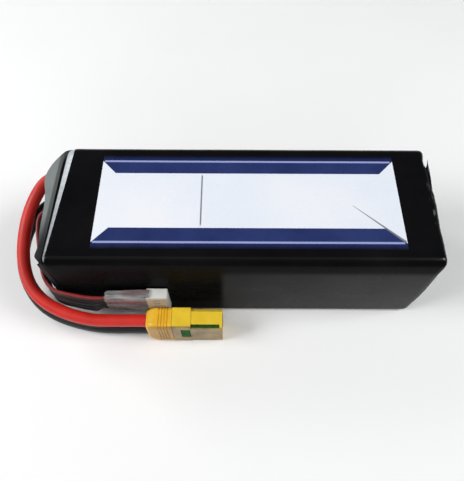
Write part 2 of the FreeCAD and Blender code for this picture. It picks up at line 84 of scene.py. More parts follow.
# slightly skew lines across the film at the wire end: x at a given y, and change of x per y
RIM_BACK_X, RIM_SKEW = -86.3, 0.0140625     # cut edge, x taken at the back side
FOLD_X, FOLD_SKEW = -83.6, 0.069            # start of the bend, x taken at y = 0
CURL_X, CURL_SKEW = -85.4, 0.031            # steep turn on to the hood, x taken at y = 0

LABEL_X = (-66.5, 73.4)
LABEL_Y = (-25.2, 26.0)

LEAD_RADIUS, CORE_RADIUS = 3.1, 2.0
LEAD_BORE_RADIUS = CORE_RADIUS + 0.06
PLUG_Y = -43.6
LEAD_END, CORE_END = (-42.6, PLUG_Y), (-36.9, PLUG_Y)
LEAD_START_INSET = 2.2                      # bare core before the insulation begins
LEAD_HINGES = [(-101.2, 12.2), (-110.5, -11.0), (-102.4, -31.6), (-68.5, -43.4)]   # x, y
HINGE_REACHES = [9.0, 9.0, 9.0, 7.0]        # length on each side of a hinge; nothing is bent with it

WIRE_RADIUS, WIRE_COUNT = 0.75, 7
WIRE_PITCH, PLUG_PITCH = 1.68, 2.5
BALANCE_AXIS_Y, BALANCE_AXIS_Z = -35.15, 20.65

# centre lines from the pack to the plugs: x, y, z
RED_LEAD = [
    (-86.4, 21.0, 46.0), (-90.5, 21.1, 46.0), (-94.6, 21.0, 45.9), (-97.9, 19.3, 45.2),
    (-101.0, 15.0, 44.0), (-104.2, 8.4, 41.3), (-106.8, 0.2, 37.3), (-108.2, -8.9, 32.5),
    (-107.9, -18.6, 27.2), (-104.4, -27.8, 23.0), (-96.1, -35.8, 19.8), (-83.3, -41.2, 17.6),
    (-71.5, -43.4, 16.6), (-66.0, -43.6, 16.45), (-56.0, -43.6, 16.45), (-38.0, -43.6, 16.45)]
BLACK_LEAD = [
    (-86.2, 11.5, 37.0), (-90.5, 11.5, 37.0), (-95.5, 11.4, 36.9), (-99.3, 10.0, 36.0),
    (-103.9, 6.6, 33.3), (-108.9, 1.4, 28.3), (-112.3, -5.7, 22.7), (-112.8, -15.0, 16.3),
    (-109.6, -24.1, 10.6), (-103.0, -31.9, 6.4), (-94.0, -37.1, 4.2), (-83.0, -40.7, 4.1),
    (-72.0, -43.1, 5.2), (-66.0, -43.6, 5.55), (-56.0, -43.6, 5.55), (-38.0, -43.6, 5.55)]
BALANCE_RIBBON = [
    (-86.6, 0.0, 45.0), (-91.0, -0.2, 45.0), (-94.8, -2.6, 44.7), (-95.9, -8.0, 43.4),
    (-95.4, -16.0, 39.6), (-94.3, -24.0, 35.2), (-92.6, -30.3, 31.2), (-89.6, -33.4, 28.0),
    (-84.0, -34.5, 24.6), (-77.0, -35.1, 22.0), (-72.8, -35.35, 21.1), (-67.0, -35.3, 20.7),
    (-58.0, -35.2, 20.65), (-43.5, -35.15, 20.65)]


# ------------------------------------------------------------------ paths and numbers
def metres(point):
    return [c * MM for c in point]


def smooth(start, stop, value):
    """Smooth step from 0 at start to 1 at stop; stop may lie below start."""
    t = min(1.0, max(0.0, (value - start) / (stop - start)))
    return t * t * (3 - 2 * t)


def wobble(x, y, z, scale, seed):
    return noise.noise(Vector((x / scale + seed, y / scale - seed, z / scale + 2 * seed)))


def spline(points, steps=24):
    """Natural cubic through the points by chord length, in equal steps between them."""
    count = len(points)
    spans = [math.dist(a, b) for a, b in zip(points, points[1:])]
    axes = []
    for axis in range(3):
        values = [p[axis] for p in points]
        lower, diagonal, upper, right = [0.0] * count, [1.0] * count, [0.0] * count, [0.0] * count
        for i in range(1, count - 1):
            lower[i], upper[i] = spans[i - 1], spans[i]
            diagonal[i] = 2 * (spans[i - 1] + spans[i])
            right[i] = 6 * ((values[i + 1] - values[i]) / spans[i]
                            - (values[i] - values[i - 1]) / spans[i - 1])
        for i in range(1, count):
            factor = lower[i] / diagonal[i - 1]
            diagonal[i] -= factor * upper[i - 1]
            right[i] -= factor * right[i - 1]
        second = [0.0] * count                  # second derivatives at the points
        second[-1] = right[-1] / diagonal[-1]
        for i in range(count - 2, -1, -1):
            second[i] = (right[i] - upper[i] * second[i + 1]) / diagonal[i]
        axes.append((values, second))
    path = []
    for i, span in enumerate(spans):
        for j in range(steps if i < count - 2 else steps + 1):
            d = j / steps * span
            point = []
            for values, second in axes:
                slope = ((values[i + 1] - values[i]) / span
                         - span * (2 * second[i] + second[i + 1]) / 6)
                point.append(values[i] + d * slope + second[i] / 2 * d * d
                             + (second[i + 1] - second[i]) / (6 * span) * d ** 3)
            path.append(tuple(point))
    return path


def nearest(path, xy):
    """Index of the path point nearest to xy in plan."""
    return min(range(len(path)),
               key=lambda i: (path[i][0] - xy[0]) ** 2 + (path[i][1] - xy[1]) ** 2)


def length(path, first, last):
    return sum(math.dist(path[k], path[k + 1]) for k in range(first, last))


def at_middle(path, first, last):
    """Index half way along the stretch."""
    half, run = length(path, first, last) / 2, 0.0
    for k in range(first, last):
        run += math.dist(path[k], path[k + 1])
        if run >= half:
            return k + 1
    return last


def walk(path, index, distance):
    """Index reached after going the signed distance along the path."""
    step = 1 if distance > 0 else -1
    gone = 0.0
    while 0 <= index + step < len(path) and gone < abs(distance):
        gone += math.dist(path[index], path[index + step])
        index += step
    return index


def transport_frames(path):
    """(point, side, up) along the path, carried along without twist."""
    points = [Vector(p) for p in path]
    last = len(points) - 1
    tangents = [(points[min(i + 1, last)] - points[max(i - 1, 0)]).normalized()
                for i in range(len(points))]
    side = tangents[0].cross(Vector((0, 0, 1))).normalized()
    frames = []
    for i, tangent in enumerate(tangents):
        if i:
            before = tangents[i - 1]
            axis = before.cross(tangent)
            if axis.length > 1e-9:
                side = Matrix.Rotation(before.angle(tangent), 3, axis.normalized()) @ side
        side = (side - tangent * side.dot(tangent)).normalized()
        frames.append((points[i], side, tangent.cross(side).normalized()))
    return frames


# ------------------------------------------------------------------ mesh building
class Builder:
    """Collects rings and faces, in millimetres, and writes one mesh object in metres."""

    def __init__(self):
        self.vertices, self.faces, self.face_materials, self.sharp = [], [], [], set()

    def ring(self, points):
        start = len(self.vertices)
        self.vertices += [tuple(p) for p in points]
        return list(range(start, len(self.vertices)))

    def face(self, corners, material=0):
        self.faces.append(corners)
        self.face_materials.append(material)

    def skin(self, a, b, material=0):
        """Band of quads between two closed rings."""
        for i in range(len(a)):
            j = (i + 1) % len(a)
            self.face((a[i], a[j], b[j], b[i]), material)

    def cap(self, ring, material=0, flip=False):
        """Closed end: a fan round a centre point."""
        points = [Vector(self.vertices[i]) for i in ring]
        centre = self.ring([sum(points, Vector()) / len(points)])[0]
        for i, j in zip(ring, ring[1:] + ring[:1]):
            self.face((i, j, centre) if flip else (j, i, centre), material)

    def crease(self, ring):
        """Marks the ring's edges as sharp in the shading."""
        self.sharp |= {tuple(sorted(edge)) for edge in zip(ring, ring[1:] + ring[:1])}

    def make(self, name, materials, sharp_angle=None):
        mesh = bpy.data.meshes.new(name)
        mesh.from_pydata([tuple(metres(p)) for p in self.vertices], [], self.faces)
        mesh.update()
        for material in materials:
            mesh.materials.append(material)
        mesh.polygons.foreach_set("material_index", self.face_materials)
        mesh.polygons.foreach_set("use_smooth", [True] * len(self.faces))
        if self.sharp:
            flags = [tuple(sorted(e.vertices)) in self.sharp for e in mesh.edges]
            mesh.attributes.new("sharp_edge", "BOOLEAN", "EDGE").data.foreach_set("value", flags)
        if sharp_angle is not None:
            mesh.set_sharp_from_angle(angle=math.radians(sharp_angle))
        mesh.validate()
        mesh.update()
        face_outwards(mesh)
        ob = bpy.data.objects.new(name, mesh)
        bpy.context.scene.collection.objects.link(ob)
        return ob


def face_outwards(mesh):
    bm = bmesh.new()
    bm.from_mesh(mesh)
    bmesh.ops.recalc_face_normals(bm, faces=bm.faces)
    bm.to_mesh(mesh)
    bm.free()
    mesh.update()


# ------------------------------------------------------------------ shader helpers
class Signal:
    """Output socket of a shader node; arithmetic on it adds math nodes."""

    def __init__(self, tree, socket):
        self.tree, self.socket = tree, socket

    def apply(self, operation, *others):
        node = self.tree.nodes.new("ShaderNodeMath")
        node.operation = operation
        for k, value in enumerate((self, *others)):
            feed(node.inputs[k], value)
        return Signal(self.tree, node.outputs[0])

    def __add__(self, other): return self.apply("ADD", other)
    def __sub__(self, other): return self.apply("SUBTRACT", other)
    def __mul__(self, other): return self.apply("MULTIPLY", other)
    def abs(self): return self.apply("ABSOLUTE")
    def maximum(self, other): return self.apply("MAXIMUM", other)
    def scaled(self, factor, offset): return self.apply("MULTIPLY_ADD", factor, offset)

    def above(self, edge, soft):
        """0 below edge, 1 above it, over a width of soft."""
        node = self.tree.nodes.new("ShaderNodeMapRange")
        node.interpolation_type = "SMOOTHSTEP"
        feed(node.inputs["From Min"], edge - soft / 2)
        feed(node.inputs["From Max"], edge + soft / 2)
        feed(node.inputs["Value"], self)
        return Signal(self.tree, node.outputs["Result"])

    def below(self, edge, soft):
        return self.above(edge, soft) * -1.0 + 1.0

    def remap(self, low, high, start=0.35, stop=0.65):
        """Linear from low at start to high at stop."""
        node = self.tree.nodes.new("ShaderNodeMapRange")
        feed(node.inputs["From Min"], start)
        feed(node.inputs["From Max"], stop)
        feed(node.inputs["To Min"], low)
        feed(node.inputs["To Max"], high)
        feed(node.inputs["Value"], self)
        return Signal(self.tree, node.outputs["Result"])


def feed(target, value):
    """Gives an input socket a link, an opaque colour or a number."""
    if isinstance(value, Signal):
        value.tree.links.new(value.socket, target)
    elif isinstance(value, tuple):
        target.default_value = (*value, 1)
    else:
        target.default_value = value


class Shader:
    """Node tree of a material or world, with the nodes its patterns are made of."""

    def __init__(self, owner, surface):
        owner.use_nodes = True
        self.owner, self.tree = owner, owner.node_tree
        self.surface = self.tree.nodes[surface]

    def set(self, inputs):
        for name, value in inputs.items():
            feed(self.surface.inputs[name], value)

    def axes(self, source, names):
        """Chosen axes of a texture coordinate."""
        coordinates = self.tree.nodes.new("ShaderNodeTexCoord")
        split = self.tree.nodes.new("ShaderNodeSeparateXYZ")
        self.tree.links.new(coordinates.outputs[source], split.inputs["Vector"])
        return [Signal(self.tree, split.outputs[name]) for name in names]

    def position(self, names="XYZ"):
        """Place in the object, millimetres."""
        return [axis * 1000.0 for axis in self.axes("Object", names)]

    def noise(self, scale, detail=2.0, roughness=0.5, stretch=(1, 1, 1)):
        coordinates = self.tree.nodes.new("ShaderNodeTexCoord")
        mapping = self.tree.nodes.new("ShaderNodeMapping")
        mapping.inputs["Scale"].default_value = stretch
        self.tree.links.new(coordinates.outputs["Object"], mapping.inputs["Vector"])
        node = self.tree.nodes.new("ShaderNodeTexNoise")
        feed(node.inputs["Scale"], scale)
        feed(node.inputs["Detail"], detail)
        feed(node.inputs["Roughness"], roughness)
        self.tree.links.new(mapping.outputs["Vector"], node.inputs["Vector"])
        return Signal(self.tree, node.outputs["Fac"])

    def paint(self, under, colour, mask):
        """Paints colour over another where mask is 1."""
        node = self.tree.nodes.new("ShaderNodeMix")
        node.data_type = "RGBA"
        feed(node.inputs["A"], under)
        feed(node.inputs["B"], colour)
        feed(node.inputs["Factor"], mask)
        return Signal(self.tree, node.outputs["Result"])

    def drift(self, first, second, field):
        """Colour that drifts between two with a noise field."""
        return self.paint(first, second, field.remap(low=0, high=1))

    def bump(self, height, strength, distance=0.0002):
        node = self.tree.nodes.new("ShaderNodeBump")
        feed(node.inputs["Strength"], strength)
        feed(node.inputs["Distance"], distance)
        feed(node.inputs["Height"], height)
        return Signal(self.tree, node.outputs["Normal"])

    def tilt(self, normal, x_shift):
        """Leans a normal along X."""
        shift = self.tree.nodes.new("ShaderNodeCombineXYZ")
        feed(shift.inputs["X"], x_shift)
        add = self.tree.nodes.new("ShaderNodeVectorMath")
        add.operation = "ADD"
        feed(add.inputs[0], normal)
        self.tree.links.new(shift.outputs["Vector"], add.inputs[1])
        unit = self.tree.nodes.new("ShaderNodeVectorMath")
        unit.operation = "NORMALIZE"
        self.tree.links.new(add.outputs["Vector"], unit.inputs[0])
        return Signal(self.tree, unit.outputs["Vector"])


def new_shader(name):
    return Shader(bpy.data.materials.new(name), "Principled BSDF")


# ------------------------------------------------------------------ materials
def plain(name, colour, rough=0.5, metal=0.0, var=0.10, scale=90.0, rough_var=0.06,
          bump=0.0, bump_scale=900.0, coat=0.0, spec=0.5, stretch=(1, 1, 1)):
    """Colour and roughness drift with a noise field; a fine grain may stand up as bump."""
    shader = new_shader(name)
    field = shader.noise(scale, detail=4.0, roughness=0.6, stretch=stretch)
    dark = tuple(c * (1 - var) for c in colour)
    light = tuple(min(1.0, c * (1 + var)) for c in colour)
    shader.set({
        "Base Color": shader.drift(dark, light, field),
        "Roughness": field.remap(low=max(0.02, rough - rough_var), high=min(1.0, rough + rough_var)),
        "Metallic": metal,
        "IOR": 1.5,
        "Specular IOR Level": spec,
        "Coat Weight": coat,
        "Coat Roughness": 0.15,
    })
    if bump:
        shader.set({"Normal": shader.bump(shader.noise(bump_scale, stretch=stretch), bump)})
    return shader.owner


def label_material():
    """Cool white paper printed with blue bands, fine lines and a widening rule."""
    shader = new_shader("label_print")
    X, Y = shader.position("XY")
    colour = shader.drift((0.80, 0.85, 0.93), (0.88, 0.89, 0.94), shader.noise(scale=22.0))
    blue = shader.drift((0.017, 0.029, 0.115), (0.025, 0.040, 0.148), shader.noise(scale=60.0))

    # bands along the back and front, their mitred ends running out to these outer corners
    band_left, back_right, front_right = LABEL_X[0], 73.0, 73.3
    back_y, front_y = 22.6, 21.9                        # distances from the centre line
    back_left_slope, back_right_slope = 0.944, 0.972
    front_left_slope, front_right_slope = 0.92, 1.12
    mitre = 0.2
    left = (X - Y * -back_left_slope).above(band_left + back_y * back_left_slope, soft=mitre)
    right = (X - Y * back_right_slope).below(back_right - back_y * back_right_slope, soft=mitre)
    back_band = Y.above(15.5, soft=0.16) * left * right
    left = (X - Y * front_left_slope).above(band_left + front_y * front_left_slope, soft=mitre)
    right = (X + Y * front_right_slope).below(front_right - front_y * front_right_slope, soft=mitre)
    front_band = Y.below(-14.5, soft=0.16) * left * right
    colour = shader.paint(colour, blue, back_band)
    colour = shader.paint(colour, blue, front_band)

    # deeper blue, then near black, towards the back and front edges of the label
    fringe, dark = (0.012, 0.020, 0.085), (0.004, 0.005, 0.012)
    colour = shader.paint(colour, fringe, Y.above(22.9, soft=0.35))
    colour = shader.paint(colour, fringe, Y.below(-22.2, soft=0.35))
    colour = shader.paint(colour, dark, Y.above(24.8, soft=2.2))
    colour = shader.paint(colour, dark, Y.below(-24.1, soft=2.2))

    # pale pin line along the outer edge of each band
    inside = X.above(-65.8, soft=0.8) * X.below(72.2, soft=0.8)
    for pin_y in (22.55, -21.85):
        line = (Y - pin_y if pin_y > 0 else Y + -pin_y).abs().below(0.50, soft=0.40)
        colour = shader.paint(colour, (0.33, 0.37, 0.66), line * inside)

    # divider across the label, between the bands
    divider = ((X + 18.4).abs().below(0.33, soft=0.25)
               * Y.above(-13.2, soft=2.5) * Y.below(14.4, soft=1.5))
    colour = shader.paint(colour, (0.075, 0.080, 0.105), divider * 0.85)

    # slanting rule, widening towards the front right corner
    start_x, start_y, end_x, end_y = 51.2, -2.1, 72.9, -21.4
    rule_length = math.hypot(end_x - start_x, end_y - start_y)
    unit_x, unit_y = (end_x - start_x) / rule_length, (end_y - start_y) / rule_length
    along = (X - start_x) * unit_x + (Y - start_y) * unit_y
    off = ((X - start_x) * -unit_y + (Y - start_y) * unit_x).abs()
    half_width = along * 0.019 + 0.10
    rule = ((off - half_width).below(0.0, soft=0.22)
            * along.above(0.2, soft=1.0) * along.below(rule_length, soft=0.2))
    colour = shader.paint(colour, (0.13, 0.14, 0.18), rule * 0.85)

    shader.set({
        "Base Color": colour,
        "Roughness": shader.noise(scale=150.0).remap(low=0.24, high=0.34),
        "Specular IOR Level": 0.35,
        "Normal": shader.bump(shader.noise(scale=35.0, roughness=0.4),
                              strength=0.12, distance=0.0003),
    })
    return shader.owner


def film_material():
    """Glossy black film, with a painted highlight and a normal tilted to the light along the lip at
    the wire end, and a painted floor reflection on the front side.
    """
    shader = new_shader("film_black")
    X, Y, Z = shader.position()
    field = shader.noise(scale=30.0, detail=4.0, roughness=0.6)
    colour = shader.drift((0.0034, 0.0034, 0.0038), (0.0058, 0.0058, 0.0064), field)

    # thin stretched lip on the top, between the curl and the fold; its pale colour is a painted
    # highlight where the lip catches the light
    top = Z.above(56.9, soft=0.9)
    lip = ((X - Y * FOLD_SKEW).below(FOLD_X, soft=0.45)
           * (X - Y * CURL_SKEW).above(CURL_X, soft=0.45) * top)
    lip_glare_noise = shader.noise(scale=420.0, detail=3.0, roughness=0.6, stretch=(0.5, 1, 1))
    tone = (lip_glare_noise.remap(low=0.75, high=1.0)
            * Y.above(-4.0, soft=56.0).scaled(factor=0.35, offset=0.65))
    colour = shader.paint(colour, (0.52, 0.56, 0.60), lip * tone)

    # dull front side, with a painted grey reflection of the floor that grows to the closed end and
    # to the foot
    front = Y.below(-29.6, soft=2.4)
    rim = (X - Y * CURL_SKEW).below(-85.5, soft=0.3)
    reflection_mottle = shader.noise(scale=55.0, detail=5.0, roughness=0.65, stretch=(0.6, 1, 1))
    painted_floor_reflection = front * Z.below(46.5, soft=6.0) * X.above(-8.5, soft=4.0)
    along = X.scaled(factor=0.0030, offset=0.27).maximum(0.0)
    down = Z.scaled(factor=-0.0135, offset=1.33)
    painted_floor_reflection = painted_floor_reflection * along * down * reflection_mottle.remap(low=0.86, high=1.14, start=0.3, stop=0.7)
    colour = shader.paint(colour, (0.115, 0.115, 0.115), painted_floor_reflection)

    # creases of the folded film catch the light along the top edge of the closed end
    crease = shader.noise(scale=900.0, stretch=(1, 0.16, 0.5))
    mark = (crease.remap(low=0.0, high=1.0, start=0.52, stop=0.66)
            * X.above(87.8, soft=0.8) * Z.above(52.0, soft=5.0)
            * (Y + 2.0).abs().below(11.0, soft=6.0))
    colour = shader.paint(colour, (0.16, 0.16, 0.16), mark * 0.7)

    rough = field.remap(low=0.085, high=0.15) + lip * 0.10 + front * 0.14 + rim * 0.3
    specular = lip * 0.4 + 0.42 - front.maximum(rim) * 0.412
    grain = shader.bump(shader.noise(scale=160.0), strength=0.08)
    shader.set({
        "Base Color": colour,
        "Roughness": rough,
        "Specular IOR Level": specular,
        "Normal": shader.tilt(grain, x_shift=lip * -0.26),
    })
    return shader.owner


def hood_material():
    """Grey board, with a painted shadow under the film's edge and painted shade towards the front
    and the foot.
    """
    shader = new_shader("hood_grey")
    X, Y, Z = shader.position()
    field = shader.noise(scale=120.0, detail=4.0, roughness=0.6, stretch=(1, 1, 0.4))
    colour = shader.drift((0.135, 0.152, 0.152), (0.180, 0.200, 0.200), field)
    # painted shadow: dark band along the film's cut edge
    painted_rim_shadow = (X - Y * 0.020).above(-88.9, soft=1.5) * Z.above(40.0, soft=8.0)
    colour = shader.paint(colour, (0.012, 0.014, 0.015), painted_rim_shadow * 0.85)
    # painted shade towards the front, then painted shade towards the foot
    front = Y.below(-14.0, soft=20.0)
    colour = shader.paint(colour, (0.010, 0.010, 0.011), front * 0.93)
    shaded_foot = Z.below(42.0, soft=12.0) * Y.below(4.0, soft=16.0)
    colour = shader.paint(colour, (0.014, 0.014, 0.016), shaded_foot * 0.85)
    shader.set({
        "Base Color": colour,
        "Roughness": field.remap(low=0.40, high=0.52),
        "Specular IOR Level": front.maximum(shaded_foot) * -0.24 + 0.30,
        "Normal": shader.bump(shader.noise(scale=500.0, stretch=(1, 1, 0.4)), strength=0.25),
    })
    return shader.owner


def plug_material(name, dark, light, front, front_y=-48.15):
    """Moulded plastic; in front of front_y it takes a browner tone, painted shade of the side that
    the lamps barely reach.
    """
    shader = new_shader(name)
    Y, = shader.position("Y")
    field = shader.noise(scale=150.0, detail=4.0, roughness=0.6)
    colour = shader.drift(dark, light, field)
    # painted shade: browner colour over the front side
    mask = Y.below(front_y, soft=0.7) * field.remap(low=0.75, high=1.0)
    shader.set({
        "Base Color": shader.paint(colour, front, mask),
        "Roughness": field.remap(low=0.31, high=0.42),
        "Specular IOR Level": 0.40,
        "Normal": shader.bump(shader.noise(scale=1800.0), strength=0.10),
    })
    return shader.owner


def clear_material():
    """Milky clear film with soft reddish and greenish streaks along X."""
    shader = new_shader("film_clear")
    field = shader.noise(scale=260.0, detail=3.0, roughness=0.6, stretch=(0.25, 1, 1))
    colour = shader.drift((0.20, 0.195, 0.195), (0.42, 0.42, 0.42), field)
    streak = shader.noise(scale=300.0, stretch=(0.16, 1, 1))
    reddish = streak.remap(low=0.0, high=0.85, start=0.48, stop=0.62)
    colour = shader.paint(colour, (0.30, 0.17, 0.16), reddish)
    greenish = streak.remap(low=0.55, high=0.0, start=0.30, stop=0.42)
    colour = shader.paint(colour, (0.22, 0.30, 0.22), greenish)
    shader.set({
        "Base Color": colour,
        "Roughness": field.remap(low=0.14, high=0.26),
        "Alpha": field.remap(low=0.58, high=0.76),
        "Coat Weight": 0.6,
        "Coat Roughness": 0.08,
    })
    return shader.owner


SILICONE = dict(scale=140, rough_var=0.05, bump=0.10, bump_scale=1200, spec=0.45)
SPARK_PART = dict(rough=0.48, rough_var=0.05, bump=0.15, bump_scale=1500)
TAB = dict(metal=1.0, scale=500, bump=0.15, bump_scale=900, stretch=(0.3, 1, 1))
MATERIALS = {
    "film": film_material(),
    "inside": plain("film_inside", (0.03, 0.03, 0.033), var=0.2),
    "label": label_material(),
    "hood": hood_material(),
    "red": plain("silicone_red", (0.60, 0.019, 0.011), rough=0.45, var=0.07, **SILICONE),
    "black": plain("silicone_black", (0.008, 0.008, 0.009), rough=0.40, var=0.2, **SILICONE),
    "copper": plain("copper_strand", (0.80, 0.44, 0.30), rough=0.32, metal=1.0, var=0.12,
                    scale=900, rough_var=0.1, bump=0.6, bump_scale=1500),
    # each front colour is painted shade on the plug's front side
    "yellow": plug_material("plug_yellow", dark=(0.80, 0.54, 0.030), light=(0.88, 0.60, 0.038),
                            front=(0.21, 0.135, 0.065)),
    "yellow_cap": plug_material("plug_yellow_cap", dark=(0.80, 0.45, 0.022),
                                light=(0.88, 0.51, 0.030), front=(0.42, 0.215, 0.025)),
    "gold": plain("contact_gold", (0.93, 0.66, 0.24), rough=0.22, metal=1.0, var=0.06,
                  scale=700, rough_var=0.07),
    "green": plain("spark_green", (0.012, 0.105, 0.020), var=0.18, scale=300, spec=0.03,
                   **SPARK_PART),
    "rail": plain("rail_green", (0.022, 0.070, 0.008), var=0.45, scale=500, spec=0.06,
                  **SPARK_PART),
    "nylon": plug_material("nylon_white", dark=(0.68, 0.68, 0.65), light=(0.76, 0.76, 0.73),
                           front=(0.42, 0.34, 0.26), front_y=-37.5),
    "tin": plain("terminal_tin", (0.72, 0.71, 0.69), rough=0.30, metal=1.0, var=0.08,
                 scale=900, rough_var=0.08),
    "shrink": plain("shrink_black", (0.010, 0.010, 0.011), rough=0.45, var=0.2, scale=300,
                    bump=0.2),
    "foil": plain("cell_foil", (0.63, 0.64, 0.66), rough=0.34, metal=0.85, var=0.06,
                  scale=60, rough_var=0.08, bump=0.35, bump_scale=90),
    "foam": plain("foam_grey", (0.055, 0.056, 0.06), rough=0.85, var=0.25, scale=900,
                  rough_var=0.08, bump=0.8, bump_scale=1100),
    "board": plain("board_green", (0.012, 0.075, 0.032), rough=0.38, var=0.18, scale=400,
                   bump=0.2, bump_scale=1400),
    "plate": plain("plate_fibre", (0.34, 0.31, 0.15), rough=0.45, var=0.14, scale=600,
                   bump=0.3, bump_scale=1600, stretch=(1, 3, 1)),
    "tape": plain("tape_amber", (0.50, 0.20, 0.02), rough=0.25, var=0.12, scale=120, coat=0.3),
    "nickel": plain("tab_nickel", (0.62, 0.59, 0.53), rough=0.30, var=0.08, **TAB),
    "alu": plain("tab_aluminium", (0.76, 0.77, 0.78), rough=0.32, var=0.07, **TAB),
}
# from the lowest wire of the bundle to the highest
WIRE_COLOURS = {
    "wire_black": (0.008, 0.008, 0.009), "wire_black_b": (0.011, 0.010, 0.011),
    "wire_grey": (0.020, 0.019, 0.020), "wire_black_c": (0.009, 0.009, 0.010),
    "wire_brown": (0.032, 0.012, 0.010), "wire_maroon": (0.075, 0.010, 0.010),
    "wire_red": (0.26, 0.018, 0.018),
}
WIRE_MATERIALS = [plain(name, colour, rough=0.42, var=0.08, scale=400, rough_var=0.05,
                        bump=0.08, bump_scale=1500) for name, colour in WIRE_COLOURS.items()]
MATERIALS["clear"] = clear_material()


# ------------------------------------------------------------------ shrink sleeve
def rounded_loop(half_width, low, high, radius):
    """Rounded rectangle in Y and Z, anticlockwise seen from +X: y, z, outward y, outward z."""
    arc_steps, y_steps, z_steps = 9, 26, 22
    right, top, bottom = half_width - radius, high - radius, low + radius
    corners = [(right, top, 0), (-right, top, 90), (-right, bottom, 180), (right, bottom, 270)]
    points = []

    def on_arc(corner, degrees):
        out_y, out_z = math.cos(math.radians(degrees)), math.sin(math.radians(degrees))
        return corner[0] + radius * out_y, corner[1] + radius * out_z, out_y, out_z

    for k, corner in enumerate(corners):
        for i in range(arc_steps + 1):
            points.append(on_arc(corner, corner[2] + 90 * i / arc_steps))
        following = corners[(k + 1) % 4]
        y, z, out_y, out_z = points[-1]
        end_y, end_z = on_arc(following, following[2])[:2]
        steps = y_steps if k % 2 == 0 else z_steps
        for i in range(1, steps):
            u = i / steps
            points.append((y + (end_y - y) * u, z + (end_z - z) * u, out_y, out_z))
    return points


def rim_x(y):
    """Cut edge of the film, drawn back a little near the back side."""
    return RIM_BACK_X + (y - HALF_WIDTH) * RIM_SKEW + 2.7 * smooth(20, 32, y)


def face_wave(x, y, z, out_y, out_z):
    """How far the film stands off its ideal face along the outward normal."""
    fade = smooth(0, 14, x + 86) * smooth(0, 8, CLOSED_END_X - x)
    wave = 0.0
    if abs(out_y) > 0.7:
        # long sides draw in between the plates and ripple from cell to cell
        ripple = 0.030 * math.sin((z - 1.55) / 9.25 * 2 * math.pi)
        wave -= 0.22 * (1 - ((z - HALF_HEIGHT) / HALF_HEIGHT) ** 2) * fade
        wave += ripple * fade * (1 - smooth(22, 29, abs(z - HALF_HEIGHT)))
    else:
        wave -= 0.05 * (1 - (y / HALF_WIDTH) ** 2) * fade
    wave += 0.055 * wobble(x, y, z, 26.0, 3.1) + 0.022 * wobble(x, y, z, 9.0, 8.7)
    near_end = math.exp(-max(0.0, CLOSED_END_X - x) / 9.0)
    wave += near_end * 0.10 * wobble(x * 0.35, y * 1.4, z * 1.4, 5.5, 1.9)
    near_rim = math.exp(-max(0.0, x - rim_x(y)) / 7.0)
    wave += near_rim * 0.09 * wobble(x * 0.4, y * 1.2, z * 1.2, 6.0, 5.3)
    if out_y > 0:
        wave -= 0.30 * out_y * smooth(-78.0, -84.0, x)      # back side hugs the hood
    return wave


def lip_profile(y):
    """(x, drop below the face) from the cut edge to the flat film."""
    edge, fold = rim_x(y), FOLD_X + FOLD_SKEW * y
    curl = max(CURL_X + CURL_SKEW * y, edge + 0.5)
    return [(edge, 0.50), (edge + 0.12, 0.42), ((edge + curl) / 2, 0.38), (curl - 0.1, 0.33),
            (curl + 0.12, 0.27), ((curl + fold) / 2, 0.12), (fold - 0.2, -0.02),
            (fold + 0.15, -0.08), (fold + 1.0, -0.13), (fold + 2.6, -0.09), (fold + 5.0, 0.0)]


def end_radius(y, z, out_y, out_z):
    """Edge radius of the closed end: tight at the plates, softer half way up the long sides."""
    off_middle = abs(z - HALF_HEIGHT)
    middle = 1 - min(1.0, off_middle / (HALF_HEIGHT - 2.0)) ** 2.2
    low = 1.2 if z < HALF_HEIGHT else 0.0
    return (1.5 + 1.3 * middle * smooth(0.5, 0.95, abs(out_y))
            + low * smooth(0.3, 0.9, off_middle / HALF_HEIGHT) * 0.9)


def end_relief(y, z):
    """How far the folded film stands out from the closed end."""
    ears = sum(math.exp(-((y - ear_y) ** 2 + (z - ear_z) ** 2) / 16.0)
               for ear_y, ear_z in ((28, 54), (-28, 54), (28, 4), (-28, 4)))
    relief = 0.55 * ears * (0.6 + 0.8 * abs(wobble(0, y, z, 2.2, 4.4)))
    # ridge along the top edge, up to a small step near the back corner
    ridge = smooth(22.6, 20.4, y) * smooth(40, 56, z) * (1.0 + 0.35 * wobble(0, y, z, 6.0, 6.4))
    relief += (0.95 + 0.75 * math.exp(-((y - 1.0) / 13.0) ** 2)) * ridge
    # both long sides belly out below the middle
    at_sides = smooth(24, 31, abs(y))
    belly = max(0.0, 1 - ((z - 26.0) / 30.0) ** 2)
    relief += 2.7 * belly * at_sides
    relief += 0.8 * smooth(22.5, 29.0, y) * smooth(44, 56, z)
    relief += 0.45 * smooth(50, 8, z) * (1 - at_sides)
    return relief


def lip_rings(loop):
    profiles = [lip_profile(point[0]) for point in loop]
    for k in range(len(profiles[0])):
        ring = []
        for (y, z, out_y, out_z), profile in zip(loop, profiles):
            x, drop = profile[k]
            d = face_wave(x, y, z, out_y, out_z) - drop
            jitter = 0.12 * wobble(0, y * 1.3, z * 1.3, 7.0, 2.2) if k < 2 else 0.0
            ring.append((x + jitter, y + out_y * d, z + out_z * d))
        yield ring


def side_rings(loop, steps=74):
    for i in range(1, steps + 1):
        ring = []
        for y, z, out_y, out_z in loop:
            start = lip_profile(y)[-1][0]
            stop = CLOSED_END_X - end_radius(y, z, out_y, out_z)
            x = start + (stop - start) * (i / steps)
            d = face_wave(x, y, z, out_y, out_z)
            ring.append((x, y + out_y * d, z + out_z * d))
        yield ring


def end_edge_rings(loop, steps=7):
    """Rounds the closed end, each point with its own radius."""
    for i in range(1, steps + 1):
        angle = math.radians(90 * i / steps)
        ring = []
        for y, z, out_y, out_z in loop:
            radius = end_radius(y, z, out_y, out_z)
            x = CLOSED_END_X - radius + radius * math.sin(angle)
            d = face_wave(x, y, z, out_y, out_z) * math.cos(angle) - radius * (1 - math.cos(angle))
            x += end_relief(y, z) * math.sin(angle)
            ring.append((x, y + out_y * d, z + out_z * d))
        yield ring


